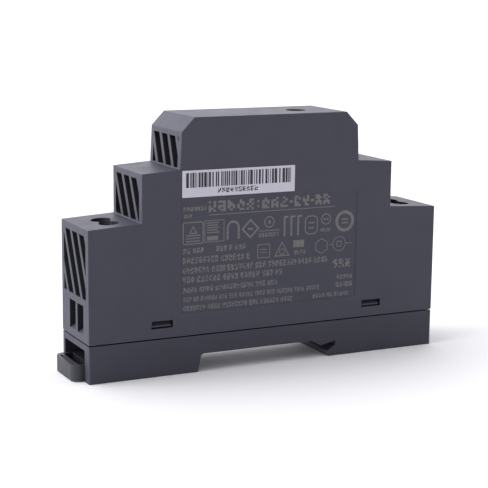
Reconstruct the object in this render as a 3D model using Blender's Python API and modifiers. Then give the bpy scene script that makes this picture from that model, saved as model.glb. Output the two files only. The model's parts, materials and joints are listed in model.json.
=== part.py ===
"""One-module DIN rail power supply, as an assembly of separate pieces.

Frame, in millimetres in this file and in metres in the scene: the origin is the centre of the
plane that rests on the rail, +X runs from the input end (with the rail clip) to the output end,
+Y is the back side of the narrow case, and +Z points away from the rail to the front face.
"""

import math

import bmesh
import bpy
from mathutils import Matrix, Vector

MM = 0.001
GAP = 0.3

# Case
HALF_LENGTH = 45.0
HALF_WIDTH = 8.75
WALL = 1.5
FRONT_Z = 54.5
FOOT_Z = -4.2
BASE_TOP_Z = 4.4
COVER_BOTTOM_Z = 4.72
TERMINAL_STEP_Z = (30.6, 31.3)  # at the outer end, at the inner end
MIDDLE_STEP_X = 32.3
MIDDLE_STEP_Z = (42.3, 42.9)
TOP_STEP_X = (23.1, 22.7)  # at its foot, at its chamfer
TOP_CHAMFER = (3.1, 3.2)
PANEL_X = 23.0
PANEL_Z = (9.9, 35.8)
PANEL_DEPTH = 0.15

# Vents: slanted slots between slanted ribs, on the three end faces at each end
VENT_Y = (-7.1, 7.2)
VENT_SLOPE = 0.46
VENT_PITCH = 4.52
VENT_SLOT = 3.15
VENT_LEVELS = (
    # face X, lowest Z, highest Z, Y of one slot's upper far corner
    (HALF_LENGTH, 14.6, 29.0, 1.59),
    (MIDDLE_STEP_X, 31.5, 41.0, 2.18),
    (TOP_STEP_X[1], 43.1, 50.1, 2.57),
)

# Snap fit between the cover and the base
SNAP_X = (24.8, 30.05)
SNAP_Z = (7.0, 8.7)
TONGUE_OUT = HALF_WIDTH - WALL - GAP
TONGUE_IN = TONGUE_OUT - 0.7
TONGUE_TOP_Z = 5.9
BASE_CORNER_RADIUS = 0.35

# Rail recess and clip
CLIP_OPENING_Y = (-5.95, 7.25)
CLIP_OPENING_Z = 3.0
CLIP_TOP_Z = -0.4
CLIP_OUTER_X = -47.7
CLIP_NOSE_X = -16.6
CLIP_TRAVEL = 3.0
RUNNER_X = (-39.5, -20.5)
STOP_X = (-35.0, -33.2)
SPRING_Y = 0.65
SPRING_Z = -1.0

# Terminals
SCREW_X = 38.1
POLE_Y = (-3.4, 1.68)
WIRE_HOLE_Z = (6.3, 13.05)
WIRE_HOLE_HALF = 1.95
ACCESS_RADIUS = 2.35
HOUSING_INNER_X = 34.1
HOUSING_Z = (6.2, 22.3)
HOUSING_Y = (-6.2, 4.2)
TAIL_X = (31.9, 33.4)
CAGE_HALF = (2.5, 1.9)
CAGE_Z = (6.8, 14.7)
BAR_Z = (12.2, 13.0)
HEAD_Z = (19.4, 21.0)
HEAD_RADIUS = 2.1
SHANK_RADIUS = 1.25

# Circuit board: components stand on the face towards -Y
BOARD_Y = (4.5, 6.1)
LEAD_END_Y = 6.95
LEAD_RADIUS = 0.3
LEAD_HOLE_RADIUS = 0.5

# Trimmer and indicator
TRIMMER_X = 10.1
TRIMMER_Y = -0.9
TRIMMER_HOLE_RADIUS = 2.4
LED_X = 27.0
LED_Y = 1.0

COLOURS = {
    # name: (red, green, blue, roughness, metallic)
    "case_plastic": (0.055, 0.055, 0.068, 0.55, 0.0),
    "clip_plastic": (0.040, 0.040, 0.044, 0.50, 0.0),
    "spring_steel": (0.60, 0.60, 0.62, 0.30, 1.0),
    "board_laminate": (0.05, 0.22, 0.09, 0.45, 0.0),
    "label_paper": (0.80, 0.78, 0.80, 0.60, 0.0),
    "terminal_plastic": (0.03, 0.03, 0.03, 0.50, 0.0),
    "screw_steel": (0.62, 0.61, 0.58, 0.30, 1.0),
    "cage_steel": (0.66, 0.64, 0.58, 0.35, 1.0),
    "contact_copper": (0.75, 0.72, 0.68, 0.30, 1.0),
    "trimmer_blue": (0.05, 0.14, 0.50, 0.40, 0.0),
    "trimmer_white": (0.80, 0.79, 0.74, 0.40, 0.0),
    "led_green": (0.10, 0.55, 0.15, 0.15, 0.0),
    "ferrite": (0.07, 0.07, 0.07, 0.60, 0.0),
    "bobbin_phenolic": (0.04, 0.04, 0.04, 0.55, 0.0),
    "magnet_wire": (0.55, 0.22, 0.07, 0.30, 1.0),
    "yellow_tape": (0.80, 0.62, 0.08, 0.45, 0.0),
    "can_sleeve": (0.03, 0.03, 0.05, 0.35, 0.0),
    "disc_blue": (0.05, 0.22, 0.55, 0.40, 0.0),
    "disc_green": (0.06, 0.25, 0.12, 0.45, 0.0),
    "chip_black": (0.02, 0.02, 0.02, 0.50, 0.0),
    "resistor_body": (0.45, 0.35, 0.22, 0.50, 0.0),
    "opto_white": (0.70, 0.70, 0.68, 0.50, 0.0),
}

AXIS_TURNS = {
    # turns a shape drawn along local Z, so that local Z lies along the named axis
    "X": Matrix(((0, 0, 1, 0), (1, 0, 0, 0), (0, 1, 0, 0), (0, 0, 0, 1))),
    "Y": Matrix(((1, 0, 0, 0), (0, 0, -1, 0), (0, 1, 0, 0), (0, 0, 0, 1))),
    "Z": Matrix.Identity(4),
}


# ---------------------------------------------------------------- scene and helpers


def clear_scene():
    for obj in list(bpy.data.objects):
        bpy.data.objects.remove(obj, do_unlink=True)


def make_collection(name, hidden=False):
    collection = bpy.data.collections.new(name)
    bpy.context.scene.collection.children.link(collection)
    collection.hide_render = hidden
    return collection


clear_scene()
PARTS = make_collection("din_rail_power_supply")
CUTTERS = make_collection("cutters", hidden=True)


def make_material(name):
    red, green, blue, roughness, metallic = COLOURS[name]
    material = bpy.data.materials.new(name)
    material.use_nodes = True
    shader = material.node_tree.nodes["Principled BSDF"]
    shader.inputs["Base Color"].default_value = (red, green, blue, 1.0)
    shader.inputs["Roughness"].default_value = roughness
    shader.inputs["Metallic"].default_value = metallic
    return material


MATERIALS = {name: make_material(name) for name in COLOURS}


def place(name, mesh, centre):
    """An object that holds the mesh, with its origin at centre (mm)."""
    obj = bpy.data.objects.new(name, mesh)
    obj.location = Vector(centre) * MM
    CUTTERS.objects.link(obj)
    hide(obj)
    return obj


def hide(obj):
    obj.hide_render = True
    obj.display_type = "WIRE"


def finish(obj, name, material, smooth=False):
    """Makes the shape a visible piece of the assembly."""
    obj.name = name
    obj.data.name = name
    for collection in list(obj.users_collection):
        collection.objects.unlink(obj)
    PARTS.objects.link(obj)
    obj.hide_render = False
    obj.display_type = "SOLID"
    obj.data.materials.clear()
    obj.data.materials.append(MATERIALS[material])
    if smooth:
        obj.data.shade_smooth()
        obj.data.set_sharp_from_angle(angle=math.radians(35))
    return obj


def block(low, high, name="block"):
    """A box between two corners, with its origin at its centre."""
    low, high = Vector(low), Vector(high)
    size = (high - low) * MM
    shape = bmesh.new()
    bmesh.ops.create_cube(shape, size=1.0, matrix=Matrix.Diagonal((*size, 1.0)))
    mesh = bpy.data.meshes.new(name)
    shape.to_mesh(mesh)
    shape.free()
    return place(name, mesh, (low + high) / 2)


def cylinder(centre, radius, length, axis="Z", sides=16, name="cylinder"):
    """A cylinder about its centre, along a row axis."""
    shape = bmesh.new()
    bmesh.ops.create_cone(
        shape,
        cap_ends=True,
        segments=sides,
        radius1=radius * MM,
        radius2=radius * MM,
        depth=length * MM,
        matrix=AXIS_TURNS[axis],
    )
    mesh = bpy.data.meshes.new(name)
    shape.to_mesh(mesh)
    shape.free()
    return place(name, mesh, centre)


def mesh_from_curve(curve_object, name):
    """Turns a curve object into a welded mesh object in the same place."""
    bpy.context.view_layer.update()
    graph = bpy.context.evaluated_depsgraph_get()
    mesh = bpy.data.meshes.new_from_object(curve_object.evaluated_get(graph))
    shape = bmesh.new()
    shape.from_mesh(mesh)
    bmesh.ops.remove_doubles(shape, verts=shape.verts, dist=1e-6)
    bmesh.ops.recalc_face_normals(shape, faces=shape.faces)
    shape.to_mesh(mesh)
    shape.free()
    obj = bpy.data.objects.new(name, mesh)
    obj.matrix_world = curve_object.matrix_world.copy()
    CUTTERS.objects.link(obj)
    hide(obj)
    bpy.data.objects.remove(curve_object, do_unlink=True)
    return obj


def prism(outline, start, end, axis="Y", name="prism"):
    """A flat outline drawn out between two values along an axis.

    The outline is in (X, Z) for axis Y, (Y, Z) for axis X and (X, Y) for axis Z.
    """
    curve = bpy.data.curves.new(name, "CURVE")
    curve.dimensions = "2D"
    curve.fill_mode = "BOTH"
    curve.extrude = abs(end - start) / 2 * MM
    spline = curve.splines.new("POLY")
    spline.points.add(len(outline) - 1)
    for point, (across, up) in zip(spline.points, outline):
        point.co = (across * MM, up * MM, 0.0, 1.0)
    spline.use_cyclic_u = True
    drawn = bpy.data.objects.new(name, curve)
    CUTTERS.objects.link(drawn)
    shift = {"X": Vector((1, 0, 0)), "Y": Vector((0, 1, 0)), "Z": Vector((0, 0, 1))}[axis]
    middle = shift * ((start + end) / 2 * MM)
    drawn.matrix_world = Matrix.Translation(middle) @ AXIS_TURNS[axis]
    return mesh_from_curve(drawn, name)


def wire(points, radius, sides=2, name="wire"):
    """A round wire along straight stretches between points."""
    curve = bpy.data.curves.new(name, "CURVE")
    curve.dimensions = "3D"
    curve.bevel_depth = radius * MM
    curve.bevel_resolution = sides
    curve.use_fill_caps = True
    spline = curve.splines.new("POLY")
    spline.points.add(len(points) - 1)
    for point, place_mm in zip(spline.points, points):
        point.co = (*(Vector(place_mm) * MM), 1.0)
    drawn = bpy.data.objects.new(name, curve)
    CUTTERS.objects.link(drawn)
    return mesh_from_curve(drawn, name)


def arc(centre, radius, start, end, steps):
    """Points along a round stretch, between two angles in degrees."""
    angles = [math.radians(start + (end - start) * i / steps) for i in range(steps + 1)]
    return [(centre[0] + radius * math.cos(a), centre[1] + radius * math.sin(a)) for a in angles]


def turned(profile, centre, axis="Z", sides=24, name="turned"):
    """A shape turned about its axis; profile is (radius, height) from the top to the bottom."""
    shape = bmesh.new()
    corners = [shape.verts.new((radius * MM, 0.0, height * MM)) for radius, height in profile]
    for first, second in zip(corners, corners[1:]):
        shape.edges.new((first, second))
    mesh = bpy.data.meshes.new(name)
    shape.to_mesh(mesh)
    shape.free()
    obj = place(name, mesh, centre)
    screw = obj.modifiers.new("turn", "SCREW")
    screw.steps = sides
    screw.render_steps = sides
    screw.use_merge_vertices = True
    screw.merge_threshold = 0.00001
    flatten = obj.modifiers.new("flat_ends", "DECIMATE")
    flatten.decimate_type = "DISSOLVE"
    flatten.angle_limit = math.radians(1)
    obj.matrix_world = Matrix.Translation(Vector(centre) * MM) @ AXIS_TURNS[axis]
    return obj


def combine(target, tools, operation, solver="EXACT"):
    for tool in tools:
        modifier = target.modifiers.new(operation.lower(), "BOOLEAN")
        modifier.operation = operation
        modifier.solver = solver
        modifier.object = tool
    return target


def cut(target, *tools):
    return combine(target, tools, "DIFFERENCE")


def join(target, *tools):
    return combine(target, tools, "UNION")


def bevel(target, width, segments=2):
    modifier = target.modifiers.new("bevel", "BEVEL")
    modifier.width = width * MM
    modifier.segments = segments
    modifier.limit_method = "ANGLE"
    modifier.angle_limit = math.radians(40)
    return target


# ---------------------------------------------------------------- cover


def mirrored_outline(half):
    """Closes a half outline, drawn upwards on the +X side, with its mirror image."""
    return half + [(-x, z) for x, z in reversed(half)]


def cover_outline():
    return mirrored_outline(
        [
            (HALF_LENGTH, COVER_BOTTOM_Z),
            (HALF_LENGTH, TERMINAL_STEP_Z[0]),
            (MIDDLE_STEP_X, TERMINAL_STEP_Z[1]),
            (MIDDLE_STEP_X, MIDDLE_STEP_Z[0]),
            (TOP_STEP_X[0], MIDDLE_STEP_Z[1]),
            (TOP_STEP_X[1], FRONT_Z - TOP_CHAMFER[1]),
            (TOP_STEP_X[1] - TOP_CHAMFER[0], FRONT_Z),
        ]
    )


def cover_hollow_outline():
    chamfer_inset = WALL * math.tan(math.radians(22.5))
    return mirrored_outline(
        [
            (HALF_LENGTH - WALL, COVER_BOTTOM_Z - 1.0),
            (HALF_LENGTH - WALL, TERMINAL_STEP_Z[0] - WALL),
            (MIDDLE_STEP_X - WALL, TERMINAL_STEP_Z[1] - WALL),
            (MIDDLE_STEP_X - WALL, MIDDLE_STEP_Z[0] - WALL),
            (TOP_STEP_X[1] - WALL, MIDDLE_STEP_Z[1] - WALL),
            (TOP_STEP_X[1] - WALL, FRONT_Z - TOP_CHAMFER[1] - chamfer_inset),
            (TOP_STEP_X[1] - TOP_CHAMFER[0] - chamfer_inset, FRONT_Z - WALL),
        ]
    )


def clip_to_frame(outline, limit, side):
    """Keeps the stretch of a (Y, Z) outline on one side (+1 above, -1 below) of Y = limit."""
    kept = []
    for (y0, z0), (y1, z1) in zip(outline, outline[1:] + outline[:1]):
        inside0 = (y0 - limit) * side >= 0
        inside1 = (y1 - limit) * side >= 0
        if inside0:
            kept.append((y0, z0))
        if inside0 != inside1:
            share = (limit - y0) / (y1 - y0)
            kept.append((limit, z0 + share * (z1 - z0)))
    return kept


def vent_slots(low_z, high_z, corner_y):
    """Outlines of the slanted slots of one end face, cut off at its frame."""
    slots = []
    lean = VENT_SLOPE * (high_z - low_z)
    for step in range(-2, 5):
        far = corner_y + step * VENT_PITCH
        near = far - VENT_SLOT
        slot = [(near, high_z), (near - lean, low_z), (far - lean, low_z), (far, high_z)]
        slot = clip_to_frame(slot, VENT_Y[0], +1)
        if slot:
            slot = clip_to_frame(slot, VENT_Y[1], -1)
        if slot and max(y for y, _ in slot) - min(y for y, _ in slot) > 0.5:
            slots.append(slot)
    return slots


def cover_vents():
    tools = []
    for face_x, low_z, high_z, corner_y in VENT_LEVELS:
        for slot in vent_slots(low_z, high_z, corner_y):
            for side in (-1, 1):
                reach = sorted((side * (face_x + 1.0), side * (face_x - WALL - 0.6)))
                tools.append(prism(slot, *reach, axis="X", name="vent"))
    return tools


def wire_holes():
    """Funnels in both end faces: their floors rise towards the clamps."""
    tools = []
    for side in (-1, 1):
        outer, inner = side * (HALF_LENGTH + 1.0), side * (HALF_LENGTH - WALL - 0.5)
        outline = [
            (outer, WIRE_HOLE_Z[0] - 0.6),
            (inner, WIRE_HOLE_Z[0] + 1.2),
            (inner, WIRE_HOLE_Z[1]),
            (outer, WIRE_HOLE_Z[1]),
        ]
        for pole_y in POLE_Y:
            reach = (pole_y - WIRE_HOLE_HALF, pole_y + WIRE_HOLE_HALF)
            tools.append(prism(outline, *reach, name="wire_hole"))
    return tools


def access_holes():
    """Pairs of round screwdriver holes that run into each other."""
    low, high = TERMINAL_STEP_Z[0] - WALL - 1.0, TERMINAL_STEP_Z[1] + 1.0
    tools = []
    for side in (-1, 1):
        x = side * SCREW_X
        for pole_y in POLE_Y:
            centre = (x, pole_y, (low + high) / 2)
            tools.append(cylinder(centre, ACCESS_RADIUS, high - low, sides=24))
        tools.append(block((x - 1.45, POLE_Y[0], low), (x + 1.45, POLE_Y[1], high)))
    return tools


def snap_windows():
    tools = []
    for side in (-1, 1):
        for end in (-1, 1):
            x0, x1 = sorted((end * SNAP_X[0], end * SNAP_X[1]))
            y0, y1 = sorted((side * (HALF_WIDTH - WALL - 0.5), side * (HALF_WIDTH + 0.5)))
            tools.append(block((x0, y0, SNAP_Z[0]), (x1, y1, SNAP_Z[1]), "snap_window"))
    return tools


def build_cover():
    cover = prism(cover_outline(), -HALF_WIDTH, HALF_WIDTH)
    inner = HALF_WIDTH - WALL
    hollow = prism(cover_hollow_outline(), -inner, inner)
    panel = block(
        (-PANEL_X, -HALF_WIDTH - 1.0, PANEL_Z[0]),
        (PANEL_X, -HALF_WIDTH + PANEL_DEPTH, PANEL_Z[1]),
    )
    trimmer_hole = cylinder((TRIMMER_X, TRIMMER_Y, FRONT_Z), TRIMMER_HOLE_RADIUS, 5.0, sides=24)
    led_hole = cylinder((LED_X, LED_Y, MIDDLE_STEP_Z[1]), 1.75, 5.0, sides=20)
    cut(cover, hollow, panel, trimmer_hole, led_hole)
    cut(cover, *snap_windows(), *wire_holes(), *access_holes(), *cover_vents())
    return finish(cover, "front_cover", "case_plastic")


def build_label():
    """The bar-code sticker on the near side, above the marking panel."""
    outer = -HALF_WIDTH - 0.02
    label = block((-22.6, outer - 0.12, 36.5), (5.9, outer, 42.6))
    return finish(label, "barcode_label", "label_paper")


# ---------------------------------------------------------------- base


def base_outline():
    """Side profile: left foot, rail seat, pressing tooth, fixed hook and right foot."""
    return [
        (-HALF_LENGTH, FOOT_Z),
        (-18.5, FOOT_Z),
        *arc((-17.0, -0.8), 0.8, 180, 90, 4),
        (11.2, 0.0),
        (13.9, -1.4),
        (17.9, -0.45),
        (17.9, -1.5),
        (15.7, -3.0),
        (15.8, FOOT_Z),
        (HALF_LENGTH, FOOT_Z),
        (HALF_LENGTH, BASE_TOP_Z),
        (-HALF_LENGTH, BASE_TOP_Z),
    ]


def base_plan():
    """The base seen from the front: a rectangle with round corners."""
    x, y = HALF_LENGTH - BASE_CORNER_RADIUS, HALF_WIDTH - BASE_CORNER_RADIUS
    outline = []
    for centre, start in (((x, y), 0), ((-x, y), 90), ((-x, -y), 180), ((x, -y), 270)):
        outline += arc(centre, BASE_CORNER_RADIUS, start, start + 90, 3)
    return prism(outline, FOOT_Z - 1.0, TONGUE_TOP_Z, axis="Z", name="base_plan")


def base_hollow():
    """The tray: shallow over the clip channel and the seat, deep in the right foot."""
    end = HALF_LENGTH - WALL - GAP - 0.8
    outline = [
        (-end, TONGUE_TOP_Z + 1.0),
        (-end, BASE_TOP_Z),
        (-16.4, BASE_TOP_Z),
        (-16.4, 1.3),
        (19.6, 1.3),
        (19.6, -2.4),
        (end, -2.4),
        (end, TONGUE_TOP_Z + 1.0),
    ]
    return prism(outline, -TONGUE_IN, TONGUE_IN, name="tray")


def clip_channel():
    """The channel through the left foot, open below, with a groove in each side wall."""
    outline = [
        (-HALF_LENGTH - 1.0, FOOT_Z - 1.0),
        (-16.9, FOOT_Z - 1.0),
        (-16.9, -0.2),
        (-18.9, -0.2),
        (-18.9, CLIP_OPENING_Z),
        (-HALF_LENGTH - 1.0, CLIP_OPENING_Z),
    ]
    near, far = CLIP_OPENING_Y
    channel = prism(outline, near, far, name="channel")
    groove_end = RUNNER_X[0] - CLIP_TRAVEL - 0.5
    groove = block((groove_end, near - 1.0, -2.6), (-16.9, far + 0.75, -1.2))
    return channel, groove


def snap_tab(side, end):
    """A tab of the base, with a wedge that catches in a window of the cover."""
    x0, x1 = sorted((end * (SNAP_X[0] + GAP), end * (SNAP_X[1] - GAP)))
    low_z, high_z = SNAP_Z[0] + GAP, SNAP_Z[1] - GAP
    outline = [
        (side * TONGUE_IN, BASE_TOP_Z - 0.5),
        (side * TONGUE_OUT, BASE_TOP_Z - 0.5),
        (side * TONGUE_OUT, low_z),
        (side * (HALF_WIDTH - 0.4), low_z),
        (side * (HALF_WIDTH - 0.4), low_z + 0.35),
        (side * (TONGUE_OUT + 0.35), high_z),
        (side * TONGUE_OUT, high_z + 0.6),
        (side * TONGUE_IN, high_z + 0.6),
    ]
    return prism(outline, x0, x1, axis="X", name="snap_tab")


def board_post(x, floor_z):
    """A post with a lip, which holds the lower edge of the circuit board."""
    lip = BOARD_Y[0] - GAP
    post = block((x - 1.5, lip - 1.0, floor_z - 0.4), (x + 1.5, TONGUE_IN + 0.3, 6.6))
    rise = block((x - 1.5, lip - 1.0, 6.0), (x + 1.5, lip, 8.6))
    return post, rise


def build_base():
    base = prism(base_outline(), -HALF_WIDTH, HALF_WIDTH)
    tongue_x = HALF_LENGTH - WALL - GAP
    tongue = block((-tongue_x, -TONGUE_OUT, 3.0), (tongue_x, TONGUE_OUT, TONGUE_TOP_Z))
    combine(base, [base_plan()], "INTERSECT")
    join(base, tongue)
    cut(base, base_hollow(), *clip_channel())
    join(base, *[snap_tab(side, end) for side in (-1, 1) for end in (-1, 1)])
    join(base, *board_post(-20.0, BASE_TOP_Z), *board_post(22.0, -2.4))
    stop = block((STOP_X[0], SPRING_Y - 2.0, -2.6), (STOP_X[1], SPRING_Y + 2.0, 3.4))
    join(base, stop)
    return finish(base, "rear_base", "case_plastic")


# ---------------------------------------------------------------- rail clip


def rounded_tab_outline(near, far, radius=2.0, steps=5):
    """Plan of the clip seen from above: a slab whose outer end has two round corners."""
    centre_x = CLIP_OUTER_X + radius
    return [
        (CLIP_NOSE_X, near),
        (CLIP_NOSE_X, far),
        *arc((centre_x, far - radius), radius, 90, 180, steps),
        *arc((centre_x, near + radius), radius, 180, 270, steps),
    ]


def build_clip():
    near, far = CLIP_OPENING_Y[0] + GAP, CLIP_OPENING_Y[1] - GAP
    low = FOOT_Z + 0.1
    side_outline = [
        (CLIP_OUTER_X - 1.0, low),
        (CLIP_OUTER_X - 1.0, CLIP_TOP_Z),
        (-21.0, CLIP_TOP_Z),
        (-20.0, -1.15),
        (CLIP_NOSE_X - 0.7, -1.15),
        (CLIP_NOSE_X, -1.9),
        (CLIP_NOSE_X, -2.2),
        (CLIP_NOSE_X - 1.6, low),
    ]
    clip = prism(side_outline, near, far, name="clip")
    plan = prism(rounded_tab_outline(near, far), low - 1.0, 1.0, axis="Z", name="clip_plan")
    combine(clip, [plan], "INTERSECT")
    runner = block((RUNNER_X[0], near - 0.7, -2.3), (RUNNER_X[1], far + 0.45, -1.5))
    join(clip, runner)
    pocket = block((STOP_X[0] - 0.4, SPRING_Y - 2.4, -3.0), (-22.5, SPRING_Y + 2.4, 1.0))
    slot_plan = [
        (-45.9, near + 1.6),
        (-45.3, near + 0.8),
        (-43.6, near + 0.8),
        (-43.6, far - 0.8),
        (-45.3, far - 0.8),
        (-45.9, far - 1.6),
    ]
    blade_slot = prism(slot_plan, -2.4, 1.0, axis="Z", name="blade_slot")
    grip_groove = block((-47.1, near + 1.9, CLIP_TOP_Z - 0.35), (-46.5, far - 1.9, 1.0))
    cut(clip, pocket, blade_slot, grip_groove)
    return finish(clip, "din_clip", "clip_plastic")


def build_clip_spring():
    """A compression spring between the base's stop and the clip's inner wall."""
    turns, points_per_turn, wire_radius = 6, 10, 0.25
    coil_radius = 1.7 - wire_radius
    start_x, end_x = STOP_X[1] + GAP + wire_radius, -22.5 - GAP - wire_radius
    count = turns * points_per_turn
    points = []
    for index in range(count + 1):
        angle = math.tau * index / points_per_turn
        x = start_x + (end_x - start_x) * index / count
        y = SPRING_Y + coil_radius * math.cos(angle)
        points.append((x, y, SPRING_Z + coil_radius * math.sin(angle)))
    spring = wire(points, wire_radius, sides=1)
    return finish(spring, "clip_spring", "spring_steel", smooth=True)


# ---------------------------------------------------------------- terminals


def build_housing(side, name):
    """The block that guides the two clamps of one end."""
    x = side * SCREW_X
    outer, inner = side * (HALF_LENGTH - WALL - GAP), side * HOUSING_INNER_X
    x0, x1 = sorted((outer, inner))
    housing = block((x0, HOUSING_Y[0], HOUSING_Z[0]), (x1, HOUSING_Y[1], HOUSING_Z[1]))
    for pole_y in POLE_Y:
        ends = sorted((side * (HALF_LENGTH + 1.0), x - side * (CAGE_HALF[0] + GAP)))
        half = CAGE_HALF[1] + GAP
        shaft = block((ends[0], pole_y - half, 5.0), (ends[1], pole_y + half, 18.4))
        bore = cylinder((x, pole_y, 18.8), SHANK_RADIUS + GAP, 2.0)
        seat = cylinder((x, pole_y, (HEAD_Z[0] + HEAD_Z[1]) / 2), HEAD_RADIUS + GAP, 2.2)
        driver = cylinder((x, pole_y, 22.0), 1.9, 3.0)
        passage_x = sorted((x - side * CAGE_HALF[0], side * (HOUSING_INNER_X - 1.0)))
        passage = block(
            (passage_x[0], pole_y - 1.4, BAR_Z[0] - GAP),
            (passage_x[1], pole_y + 1.4, BAR_Z[1] + GAP),
        )
        cut(housing, shaft, bore, seat, driver, passage)
    return finish(housing, name, "terminal_plastic")


def build_terminal_screw(side, pole_y, name):
    """Clamp screw, with its origin on its own axis; the slot is for a flat blade."""
    x = side * SCREW_X
    head_centre = (HEAD_Z[0] + HEAD_Z[1]) / 2
    screw = cylinder((x, pole_y, head_centre), HEAD_RADIUS, HEAD_Z[1] - HEAD_Z[0], sides=20)
    tip = BAR_Z[1] + GAP
    top = HEAD_Z[0] + 0.4
    shank = cylinder((x, pole_y, (tip + top) / 2), SHANK_RADIUS, top - tip)
    slot = block((x - 3.0, pole_y - 0.3, HEAD_Z[1] - 0.7), (x + 3.0, pole_y + 0.3, 22.0))
    join(screw, shank)
    cut(screw, slot)
    return finish(screw, name, "screw_steel", smooth=True)


def build_cage(side, pole_y, name):
    """Rising clamp: a bent steel box that the screw pulls up towards the contact bar."""
    x = side * SCREW_X
    half_x, half_y = CAGE_HALF
    cage = block((x - half_x, pole_y - half_y, CAGE_Z[0]), (x + half_x, pole_y + half_y, CAGE_Z[1]))
    wall = 0.5
    window = block(
        (x - half_x - 1.0, pole_y - half_y + wall, CAGE_Z[0] + 0.8),
        (x + half_x + 1.0, pole_y + half_y - wall, CAGE_Z[1] - 1.2),
    )
    thread = cylinder((x, pole_y, CAGE_Z[1]), SHANK_RADIUS + 0.12, 4.0)
    cut(cage, window, thread)
    return finish(cage, name, "cage_steel")


def build_contact(side, pole_index, name):
    """Contact bar through the clamp, with a tail that is soldered into the board."""
    pole_y = POLE_Y[pole_index]
    outer = side * (SCREW_X + 3.0)
    tail_x = side * TAIL_X[pole_index]
    x0, x1 = sorted((outer, tail_x - side * 0.25))
    bar = block((x0, pole_y - 1.1, BAR_Z[0]), (x1, pole_y + 1.1, BAR_Z[1]))
    tail = block(
        (tail_x - 0.35, pole_y, BAR_Z[0] + 0.05),
        (tail_x + 0.35, BOARD_Y[0] - GAP, BAR_Z[1] - 0.05),
    )
    pin_z = (BAR_Z[0] + BAR_Z[1]) / 2
    pin = block((tail_x - 0.3, 3.0, pin_z - 0.3), (tail_x + 0.3, LEAD_END_Y, pin_z + 0.3))
    join(bar, tail, pin)
    LEAD_HOLES.append((tail_x, pin_z))
    return finish(bar, name, "contact_copper")


# ---------------------------------------------------------------- board and its components

LEAD_HOLES = []


def lead(x, z, start_y, end_y=LEAD_END_Y):
    """A straight lead into the board; the hole for it is drilled when the board is made."""
    LEAD_HOLES.append((x, z))
    centre = (x, (start_y + end_y) / 2, z)
    return cylinder(centre, LEAD_RADIUS, end_y - start_y, axis="Y", sides=6, name="lead")


def bent_lead(start, foot_x, foot_z, radius=LEAD_RADIUS):
    """A lead that leaves its component sideways and then turns down into the board."""
    LEAD_HOLES.append((foot_x, foot_z))
    run = [start, (foot_x, start[1], foot_z), (foot_x, LEAD_END_Y, foot_z)]
    return wire(run, radius, sides=0, name="lead")


def board_outline():
    low, edge = 6.9, 0.8
    inner = WALL + edge
    return mirrored_outline(
        [
            (HALF_LENGTH - inner, low),
            (HALF_LENGTH - inner, TERMINAL_STEP_Z[0] - inner),
            (MIDDLE_STEP_X - inner, TERMINAL_STEP_Z[0] - inner),
            (MIDDLE_STEP_X - inner, MIDDLE_STEP_Z[0] - inner),
            (TOP_STEP_X[1] - inner, MIDDLE_STEP_Z[0] - inner),
            (TOP_STEP_X[1] - inner, FRONT_Z - TOP_CHAMFER[1] - inner),
            (TOP_STEP_X[1] - inner - TOP_CHAMFER[0], FRONT_Z - inner),
        ]
    )


def build_board():
    board = prism(board_outline(), *BOARD_Y)
    middle = sum(BOARD_Y) / 2
    for x, z in LEAD_HOLES:
        cut(board, cylinder((x, middle, z), LEAD_HOLE_RADIUS, 3.0, axis="Y", sides=8))
    return finish(board, "circuit_board", "board_laminate")


def build_electrolytic(name, left_x, length, z, radius, lead_side):
    """A can that lies on the board, with a rolled groove near its leads."""
    face = left_x if lead_side < 0 else left_x + length
    back = left_x + length if lead_side < 0 else left_x
    y = BOARD_Y[0] - GAP - radius
    groove = face - lead_side * 2.0
    profile = [
        (0.0, back),
        (radius, back),
        (radius, groove - lead_side * 0.6),
        (radius - 0.4, groove),
        (radius, groove + lead_side * 0.6),
        (radius, face),
        (0.0, face),
    ]
    if lead_side > 0:
        profile.reverse()
    profile = [(r, x - left_x - length / 2) for r, x in profile]
    can = turned(profile, (left_x + length / 2, y, z), axis="X", sides=20)
    for offset in (-1.75, 1.75):
        start = (face - lead_side, y, z + offset)
        legs = bent_lead(start, face + lead_side * 1.2, z + offset)
        # the exact solver drops a triangle from the can's end face here
        combine(can, [legs], "UNION", solver="MANIFOLD")
    return finish(can, name, "can_sleeve", smooth=True)


def build_disc(name, material, x, z, radius, thickness, normal="X", spread=2.5):
    """A coated disc standing on its two leads."""
    y = BOARD_Y[0] - 1.2 - radius
    disc = cylinder((x, y, z), radius, thickness, axis=normal, sides=20)
    bevel(disc, 0.5, 1)
    for offset in (-spread, spread):
        spot = (x, z + offset) if normal == "X" else (x + offset, z)
        join(disc, lead(*spot, y))
    return finish(disc, name, material, smooth=True)


def build_axial(name, material, x, z, radius, length):
    """A barrel that lies along Z above the board, with its leads bent down at both ends."""
    y = BOARD_Y[0] - 0.8 - radius
    barrel = cylinder((x, y, z), radius, length, sides=14)
    reach = length / 2 + 1.3
    for end in (-1, 1):
        join(barrel, bent_lead((x, y, z + end), x, z + end * reach))
    return finish(barrel, name, material, smooth=True)


def build_chip(name, material, x, z, size, pins_per_side, pitch=1.27):
    """A moulded package with rows of legs along its two long sides."""
    length, width, height = size
    top = BOARD_Y[0] - GAP
    low = (x - width / 2, top - height, z - length / 2)
    high = (x + width / 2, top - 0.3, z + length / 2)
    chip = block(low, high)
    bevel(chip, 0.15, 1)
    first = -(pins_per_side - 1) / 2 * pitch
    for index in range(pins_per_side):
        leg_z = z + first + index * pitch
        for end in (-1, 1):
            x0, x1 = sorted((x + end * (width / 2 - 0.4), x + end * (width / 2 + 0.9)))
            join(chip, block((x0, top - 0.5, leg_z - 0.2), (x1, top - 0.05, leg_z + 0.2)))
    return finish(chip, name, material)


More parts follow.
